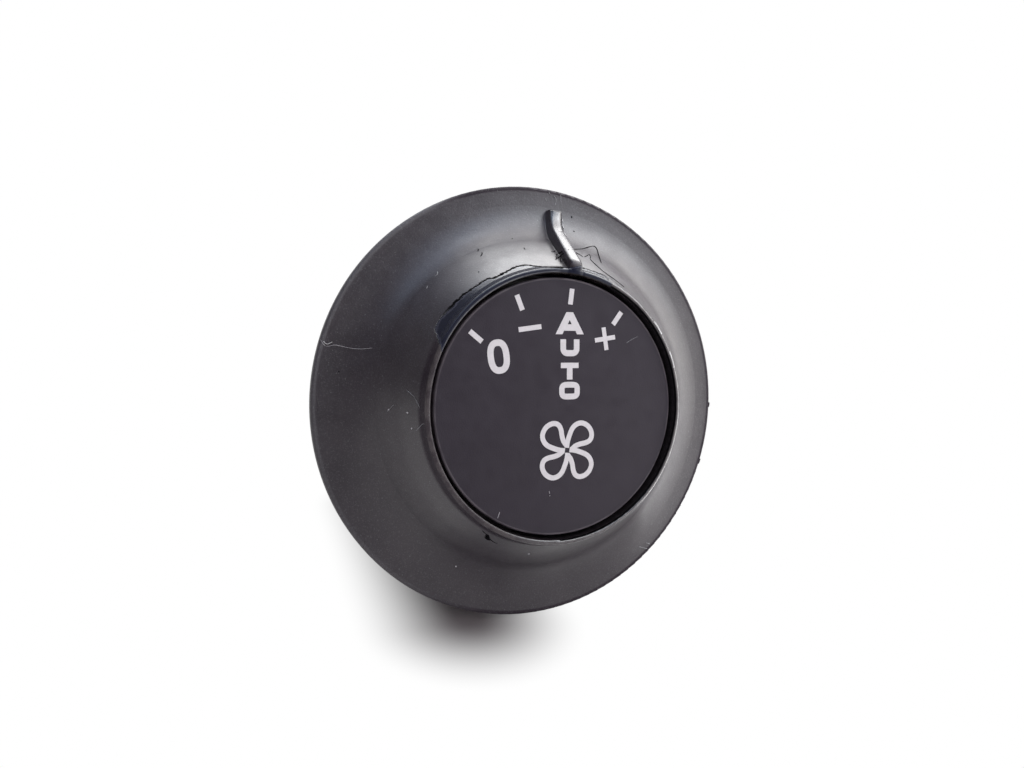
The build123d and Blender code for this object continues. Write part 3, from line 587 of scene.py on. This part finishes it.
PLUS_CENTRE, PLUS_ARM, PLUS_WIDTH = (0.405, 0.53), 0.09, 0.036
px, pz = PLUS_CENTRE
w = PLUS_WIDTH / 2
plus_sign = [
    (px - PLUS_ARM, pz - w), (px - w, pz - w), (px - w, pz - PLUS_ARM), (px + w, pz - PLUS_ARM),
    (px + w, pz - w), (px + PLUS_ARM, pz - w), (px + PLUS_ARM, pz + w), (px + w, pz + w),
    (px + w, pz + PLUS_ARM), (px - w, pz + PLUS_ARM), (px - w, pz + w), (px - PLUS_ARM, pz + w),
]
mark("print_plus", turned(plus_sign, PLUS_CENTRE, 8.7), [tuple(range(12))])

# Column of capitals
letter_a = [
    (-0.023, 0.563), (0.0685, 0.734), (0.1255, 0.734), (0.219, 0.563), (0.159, 0.563), (0.146, 0.590),
    (0.048, 0.590), (0.035, 0.563), (0.080, 0.640), (0.097, 0.674), (0.114, 0.640),
]
mark("print_letter_1", letter_a, [(0, 1, 9, 8, 6, 7), (1, 2, 9), (2, 3, 4, 5, 10, 9), (8, 10, 5, 6)])
U_LEFT, U_RIGHT, U_TOP, U_BOTTOM, U_CORNER = 0.042, 0.157, 0.524, 0.416, 0.035
u_line = [(U_LEFT, U_TOP)]
for corner_x, start in ((U_LEFT + U_CORNER, 180), (U_RIGHT - U_CORNER, 270)):
    for i in range(7):
        a = math.radians(start + 15 * i)
        u_line.append((corner_x + U_CORNER * math.cos(a), U_BOTTOM + U_CORNER + U_CORNER * math.sin(a)))
u_line.append((U_RIGHT, U_TOP))
stroke("print_letter_2", u_line, 0.048)
letter_t = [
    (0.022, 0.342), (0.022, 0.300), (0.074, 0.300), (0.074, 0.211), (0.122, 0.211), (0.122, 0.300),
    (0.174, 0.300), (0.174, 0.342),
]
mark("print_letter_3", letter_t, [tuple(range(8))])
stroke("print_letter_4", oval((0.097, 0.1245), 0.131, 0.092, 4.0), 0.045, closed=True)

# Fan sign: one blade's outline, turned four times about its hub
FAN_CENTRE = (0.078, -0.341)
blade = [
    (-0.004, 0.020), (0.003, 0.065), (0.020, 0.118), (0.046, 0.172), (0.085, 0.203), (0.130, 0.209),
    (0.176, 0.187), (0.205, 0.148), (0.212, 0.105), (0.196, 0.071), (0.160, 0.053), (0.110, 0.044),
    (0.070, 0.030), (0.041, 0.008),
]
for i in range(4):
    around = [(FAN_CENTRE[0] + x, FAN_CENTRE[1] + z) for x, z in smooth(blade)]
    stroke(f"print_blade_{i + 1}", turned(around, FAN_CENTRE, 90 * i), 0.040, lift=INK_LIFT * (1 + i / 4))


# Hairs, lint, scratches and cracks lie on the ring's surface, found by a ray from in front of it
RAY_START = 10 * MM


def on_ring(clock, radius, lift=0.0):
    """Point on the ring's front surface at a clock angle and a distance from the axis in millimetres."""
    a = math.radians(clock)
    start = Vector((radius * MM * math.sin(a), lip_front - RAY_START, radius * MM * math.cos(a)))
    hit, place, normal, _ = nodes["knob_ring"].ray_cast(start, Vector((0, 1, 0)))
    return place + normal * lift if hit else start


# Share by which a thread swells and thins along its points
UNEVEN, UNEVEN_STEP = 0.35, 2.4


def thread(name, points, thickness, material, body="knob"):
    """Thin uneven line through points, which rides with a body."""
    curve = bpy.data.curves.new(name, "CURVE")
    curve.dimensions = "3D"
    curve.bevel_depth = thickness / 2
    curve.bevel_resolution = 1
    spline = curve.splines.new("NURBS")
    spline.points.add(len(points) - 1)
    for i, (p, q) in enumerate(zip(spline.points, points)):
        p.co = (*q, 1.0)
        p.radius = 1 + UNEVEN * math.sin(UNEVEN_STEP * i)
    spline.use_endpoint_u = True
    spline.order_u = 3
    curve.materials.append(material)
    line = bpy.data.objects.new(name, curve)
    bpy.context.scene.collection.objects.link(line)
    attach(line, body)


def ring_lines(name, lines, thickness, material, lift=0.0):
    """Several lines on the ring, each a list of clock angles and radii in millimetres."""
    for i, line in enumerate(lines):
        points = [on_ring(c, r, lift * MM) for c, r in line]
        thread(f"{name}_{i + 1}", points, thickness * MM, material)


lint_white = moulded("lint_white", (0.62, 0.62, 0.64), 0.6)
hair_grey = moulded("hair_grey", (0.45, 0.43, 0.47), 0.5)
dull_scratch = moulded("dull_scratch", (0.22, 0.22, 0.24), 0.5)
# Pale colour for painted glints on the lip's inner edge
painted_glint = moulded("painted_glint_material", (0.72, 0.71, 0.72), 0.3)
crack_dark = moulded("crack_dark", (0.006, 0.006, 0.007), 0.9, specular=0.0)

ring_lines("hair", [
    [(-73.2, 24.9), (-74.3, 24.5), (-74.4, 24.0), (-73.4, 23.4), (-73.3, 22.6), (-73.1, 21.6),
     (-72.5, 20.5), (-71.2, 19.6)],
], 0.032, hair_grey, 0.04)
ring_lines("hair_end", [
    [(-73.4, 24.6), (-73.9, 24.3), (-73.7, 24.0), (-72.9, 23.7)],
], 0.05, lint_white, 0.06)
ring_lines("fibre", [
    [(-82.8, 16.2), (-84, 15.9), (-85.2, 15.5), (-88.8, 15.15)],
    [(-97.8, 15.5), (-95.8, 15.1), (-94, 14.75), (-91.5, 14.4)],
    [(-91, 17.6), (-88.6, 17.1)],
], 0.035, dull_scratch, 0.03)
ring_lines("lint", [
    [(-91.0, 16.1), (-91.4, 16.0)],
    [(-96.8, 15.85), (-97.2, 15.8)],
    [(-153.2, 20.5), (-153.6, 20.5)],
    [(-171.6, 16.5), (-172.0, 16.4)],
    [(-90.2, 17.5), (-90.6, 17.5)],
], 0.14, hair_grey, 0.0)
ring_lines("scratch", [
    [(9.3, 24.75), (9.6, 23.9), (10.0, 23.0)],
    [(7.3, 24.4), (8.0, 24.1), (8.3, 23.8), (8.0, 23.3)],
    [(5.8, 24.7), (6.1, 24.4)],
    [(4.9, 23.9), (5.2, 23.6)],
    [(141, 23.6), (139.5, 24.6)],
    [(138.6, 23.9), (138.0, 24.4)],
    [(-38.6, 18.7), (-39.4, 18.4), (-40.6, 18.5)],
    [(-45.0, 18.3), (-45.8, 18.2)],
], 0.06, dull_scratch, 0.01)
ring_lines("crack", [
    [(13.4, 18.1), (15.6, 18.4), (18.2, 18.8), (20.2, 19.3), (21.5, 19.65), (23.2, 20.1), (24.2, 20.05),
     (25.0, 19.6), (25.3, 18.7), (24.9, 17.8)],
    [(20.1, 18.25), (20.6, 18.0), (19.1, 17.4), (20.5, 16.95), (22.2, 16.5), (24.0, 16.15), (26.8, 16.0),
     (30.2, 15.95), (33.5, 15.8)],
    [(12.9, 17.7), (14.8, 17.5), (16.0, 17.35)],
    [(16.8, 17.4), (19.0, 17.9), (20.1, 18.25)],
], 0.095, crack_dark, 0.01)
ring_lines("flake_edge", [
    [(23.4, 14.9), (24.6, 15.3), (25.4, 15.75)],
    [(25.4, 15.75), (28.0, 15.5), (31.0, 15.35), (34.0, 15.2)],
], 0.07, dull_scratch, 0.01)
ring_lines("mark", [
    [(2.2, 17.0), (3.5, 16.9), (4.4, 17.3)],
    [(3.3, 16.6), (4.6, 16.9), (5.6, 17.3)],
    [(4.4, 16.4), (5.4, 16.8), (6.6, 17.2)],
    [(2.6, 16.1), (3.6, 16.3), (4.6, 16.7)],
    [(2.9, 15.6), (3.5, 15.9), (4.2, 16.2)],
    [(1.4, 15.9), (2.2, 16.0), (2.8, 16.4)],
], 0.12, crack_dark, 0.0)
ring_lines("pit", [
    [(-22.2, 18.6), (-22.9, 18.4)],
    [(-22.3, 18.1), (-22.6, 17.9), (-24.0, 17.8)],
    [(-8.7, 18.85), (-9.1, 18.8)],
    [(-7.5, 17.5), (-7.7, 17.3)],
    [(-29.2, 16.5), (-29.7, 16.5)],
    [(13.8, 22.6), (14.1, 22.4)],
    [(15.2, 20.9), (15.6, 20.8)],
    [(-80.0, 22.3), (-80.4, 22.3)],
], 0.11, crack_dark, 0.0)
ring_lines("gouge", [
    [(-149.8, 15.5), (-150.8, 15.6), (-151.8, 15.75)],
    [(-150.6, 15.75), (-151.8, 15.9), (-153.0, 15.8)],
], 0.36, crack_dark, -0.02)
ring_lines("gouge_tail", [
    [(-147.0, 15.35), (-148.5, 15.45), (-150.0, 15.5)],
    [(-152.6, 15.8), (-154.5, 15.95), (-156.5, 15.95)],
], 0.1, crack_dark, 0.0)
# Painted highlights: two pale strokes along the lip's inner edge, for glints of light on the glossy wall
ring_lines("painted_glint_stroke", [
    [(51.0, 14.68), (53.0, 14.72), (55.2, 14.7), (57.5, 14.66)],
    [(66.0, 14.66), (68.5, 14.7), (71.0, 14.68), (73.5, 14.62)],
], 0.15, painted_glint, 0.02)

# Chips along the pointer's right edge
ring_lines("chip_dark", [
    [(10.2, 22.5), (10.4, 21.9), (10.7, 21.3), (11.1, 20.6), (11.4, 20.0), (11.8, 19.3), (12.2, 18.7)],
], 0.2, crack_dark, 0.0)
ring_lines("chip_light", [
    [(10.9, 21.9), (11.0, 21.6)],
    [(11.2, 21.2), (11.4, 20.8)],
    [(11.9, 20.2), (12.1, 19.8)],
], 0.12, lint_white, 0.01)

# Burrs on the rim's edge
ring_lines("burr", [
    [(108.3, 24.85), (108.9, 24.97), (109.6, 24.9)],
    [(91.4, 24.9), (92.0, 24.98), (92.6, 24.9)],
], 0.28, finish["soft_black"], 0.0)


def on_cap(x, z, lift=0.01 * MM):
    """Point on the cap's face, in shares of its radius."""
    return Vector((x * cap_radius, cap_front - lift, z * cap_radius))


cap_scratch = [on_cap(0.60, 0.50), on_cap(0.65, 0.53), on_cap(0.70, 0.55)]
thread("cap_scratch", cap_scratch, 0.03 * MM, dull_scratch, "housing")
cap_specks = [
    [(-0.075, -0.652), (-0.071, -0.672)],
    [(-0.070, -0.684), (-0.068, -0.692)],
    [(-0.500, -0.832), (-0.485, -0.788)],
]
for i, line in enumerate(cap_specks):
    thread(f"cap_speck_{i + 1}", [on_cap(x, z) for x, z in line], 0.05 * MM, hair_grey, "housing")


# Floor: it touches the rim and the connector's end, as the switch lies on a table
slope_rise = ring_low.z - cover_low.z
slope_run = cover_high.y - rim_back
lean = math.atan2(-slope_rise, slope_run)
FLOOR_HALF = 1.5
corners = [(x * FLOOR_HALF, y * FLOOR_HALF, 0) for x, y in ((-1, -1), (1, -1), (1, 1), (-1, 1))]
floor_mesh = bpy.data.meshes.new("floor")
floor_mesh.from_pydata(corners, [], [(0, 1, 2, 3)])
floor = bpy.data.objects.new("floor", floor_mesh)
bpy.context.scene.collection.objects.link(floor)
floor.matrix_world = Matrix.Translation((0, rim_back, ring_low.z)) @ Matrix.Rotation(lean, 4, "X")


# The floor takes the switch's real shadow, and near the switch the camera sees it in a painted shadow
# colour; farther away it is plain white
SHADOW_NEAR, SHADOW_FAR = 1 * MM, 14 * MM
SHADOW_SIDE = -7 * MM
SHADOW_DEPTH = 32 * MM
WHITE = (1.0, 1.0, 1.0)
TABLE_COLOUR = (0.75, 0.75, 0.76)
# Painted shadow: colours the camera sees on the floor near the switch, far darker than the table
SHADOW_DARK, SHADOW_LIGHT = (0.14, 0.122, 0.13), (0.18, 0.16, 0.17)


def looked_at(tree):
    """Light Path node, and 1 for what the camera sees straight or through clear pieces."""
    light_path = tree.nodes.new("ShaderNodeLightPath")
    straight = light_path.outputs["Is Camera Ray"]
    return light_path, most(tree, straight, light_path.outputs["Is Transmission Ray"])


def mix_shader(tree, factor, a, b):
    node = tree.nodes.new("ShaderNodeMixShader")
    plug(tree, node.inputs[0], factor)
    plug(tree, node.inputs[1], a)
    plug(tree, node.inputs[2], b)
    return node.outputs[0]


def paper():
    """White table: it takes a real shadow, shows the camera a painted shadow colour near the switch, is
    white where it is lit and can't be seen from below.
    """
    mat, tree, shader = new_material("white_table")
    place = object_place(tree)
    light_path, looked = looked_at(tree)
    seen = most(tree, looked, light_path.outputs["Is Glossy Ray"])
    # Painted shadow: near the switch the camera sees these dark colours in place of the table's
    shade = mix_colour(tree, noise(tree, place, 9 * MM, 4.0), SHADOW_DARK, SHADOW_LIGHT)
    plug(tree, shader.inputs["Base Color"], mix_colour(tree, looked, TABLE_COLOUR, shade))
    plug(tree, shader.inputs["Roughness"], 0.9)
    plug(tree, shader.inputs["Specular IOR Level"], 0.1)

    # Farther away from the strip under the switch the eye sees plain white
    x, y, _ = split(tree, place)
    side = minus(tree, x, SHADOW_SIDE)
    behind = most(tree, minus(tree, y, SHADOW_DEPTH), 0.0)
    along = plus(tree, least(tree, y, 0.0), behind)
    away = math_node(tree, "SQRT", plus(tree, square(tree, side), square(tree, along)))
    white = tree.nodes.new("ShaderNodeEmission")
    plug(tree, white.inputs["Color"], WHITE)
    far = times(tree, ramp(tree, away, SHADOW_NEAR, SHADOW_FAR), seen)
    above = mix_shader(tree, far, shader.outputs["BSDF"], white.outputs[0])

    below = tree.nodes.new("ShaderNodeBsdfTransparent").outputs["BSDF"]
    from_below = tree.nodes.new("ShaderNodeNewGeometry").outputs["Backfacing"]
    surface = mix_shader(tree, from_below, above, below)
    plug(tree, tree.nodes["Material Output"].inputs["Surface"], surface)
    return mat


floor_mesh.materials.append(paper())


def direction(azimuth, elevation):
    """Unit direction: azimuth 0 faces the driver and 90 is to the driver's right."""
    a, e = math.radians(azimuth), math.radians(elevation)
    return Vector((math.sin(a) * math.cos(e), -math.cos(a) * math.cos(e), math.sin(e)))


# World: white to the camera, a plain level as light, and a darker side of the room in reflections
WORLD_LEVEL = 0.45
DARK_SIDE = direction(-60, 2)
DARK_LEVEL = 0.25
DARK_START, DARK_FULL = -0.1, 0.4


def white_world():
    world = bpy.data.worlds.new("studio")
    bpy.context.scene.world = world
    world.use_nodes = True
    tree = world.node_tree
    tree.nodes.clear()
    output = tree.nodes.new("ShaderNodeOutputWorld")
    sky = tree.nodes.new("ShaderNodeBackground")
    towards = tree.nodes.new("ShaderNodeVectorMath")
    towards.operation = "DOT_PRODUCT"
    plug(tree, towards.inputs[0], tree.nodes.new("ShaderNodeTexCoord").outputs["Generated"])
    towards.inputs[1].default_value = DARK_SIDE
    reflected = ramp(tree, towards.outputs["Value"], DARK_START, DARK_FULL, 1.0, DARK_LEVEL)
    light_path, looked = looked_at(tree)
    glossy = light_path.outputs["Is Glossy Ray"]
    direct = times(tree, most(tree, WORLD_LEVEL, looked), rest_of(tree, glossy))
    plug(tree, sky.inputs["Color"], WHITE)
    plug(tree, sky.inputs["Strength"], plus(tree, direct, times(tree, glossy, reflected)))
    tree.links.new(sky.outputs[0], output.inputs["Surface"])


white_world()

# Tints of what the switch mirrors: the window, the corner beside it and the sky
WARM, COOL, PALE = (1.0, 0.99, 0.96), (0.86, 0.94, 1.0), (0.92, 0.96, 1.0)
SKY, FRONT_SKY = (0.60, 0.76, 1.0), (0.60, 0.78, 1.0)


def softbox(name, towards, distance, width, height, level, colour=WHITE, light=True, sheen=True):
    """Rectangular lamp that faces the switch: level is how bright it looks, where 1 is white."""
    data = bpy.data.lights.new(name, "AREA")
    data.shape = "RECTANGLE"
    data.size = width
    data.size_y = height
    data.energy = level * math.pi * width * height
    data.color = colour
    lamp = bpy.data.objects.new(name, data)
    bpy.context.scene.collection.objects.link(lamp)
    lamp.location = direction(*towards) * distance
    lamp.rotation_mode = "QUATERNION"
    lamp.rotation_quaternion = (-lamp.location).to_track_quat("-Z", "Y")
    lamp.visible_camera = False
    lamp.visible_diffuse = light
    lamp.visible_glossy = sheen
    return lamp


softbox("window", (72, 10), 0.36, 0.42, 0.42, 2.1, sheen=False)
softbox("window_sheen", (78, 9), 0.35, 0.42, 0.42, 4.0, WARM, light=False)
softbox("high_window_sheen", (72, 40), 0.34, 0.20, 0.16, 2.2, light=False)
softbox("corner_sheen", (44, 38), 0.34, 0.24, 0.26, 4.0, COOL, light=False)
softbox("ceiling", (100, 66), 0.34, 0.32, 0.30, 2.0, sheen=False)
softbox("ceiling_sheen", (88, 70), 0.33, 0.36, 0.34, 5.0, light=False)
softbox("behind_sheen", (140, 48), 0.34, 0.22, 0.20, 2.6, light=False)
softbox("overhead_sheen", (-172, 67), 0.34, 0.18, 0.16, 3.0, PALE, light=False)
softbox("sky_sheen", (-60, 62), 0.34, 0.24, 0.24, 1.9, SKY, light=False)
softbox("front_sky_sheen", (5, 60), 0.35, 0.18, 0.22, 2.3, FRONT_SKY, light=False)
softbox("front_fill", (-12, 14), 0.50, 0.30, 0.30, 2.2, sheen=False)

# The window's light on the table at the right, as the switch mirrors it
TABLE_SHEEN_PLACE = Vector((0.14, -0.06, 2 * MM))
table_sheen = softbox("table_sheen", (65, 0), 0.15, 0.22, 0.22, 3.2, light=False)
table_sheen.location = floor.matrix_world @ TABLE_SHEEN_PLACE
facing_up = Vector((0, 0, 1)).to_track_quat("-Z", "Y")
table_sheen.rotation_quaternion = floor.matrix_world.to_quaternion() @ facing_up

# Camera: fitted to the photograph's rim, lip and cap circles
CAMERA_AZIMUTH, CAMERA_ELEVATION = math.radians(-21.1), math.radians(2.3)
CAMERA_SHIFT = (0.080, -0.086)
CAMERA_DISTANCE = 3.742
LENS, SENSOR = 28.125, 36.0

back = Vector((
    math.sin(CAMERA_AZIMUTH) * math.cos(CAMERA_ELEVATION),
    -math.cos(CAMERA_AZIMUTH) * math.cos(CAMERA_ELEVATION),
    math.sin(CAMERA_ELEVATION),
))
right = Vector((math.cos(CAMERA_AZIMUTH), math.sin(CAMERA_AZIMUTH), 0))
up = back.cross(right)
RIM_FRONT = -2.05 * MM
eye = Vector((0, RIM_FRONT, 0)) + rim_radius * (
    -CAMERA_SHIFT[0] * right - CAMERA_SHIFT[1] * up + CAMERA_DISTANCE * back
)
camera_data = bpy.data.cameras.new("camera")
camera_data.lens = LENS
camera_data.sensor_width = SENSOR
camera_data.clip_start = 0.005
camera = bpy.data.objects.new("camera", camera_data)
bpy.context.scene.collection.objects.link(camera)
camera.matrix_world = Matrix((
    (right.x, up.x, back.x, eye.x),
    (right.y, up.y, back.y, eye.y),
    (right.z, up.z, back.z, eye.z),
    (0, 0, 0, 1),
))
bpy.context.scene.camera = camera
bpy.context.scene.view_settings.view_transform = "Standard"
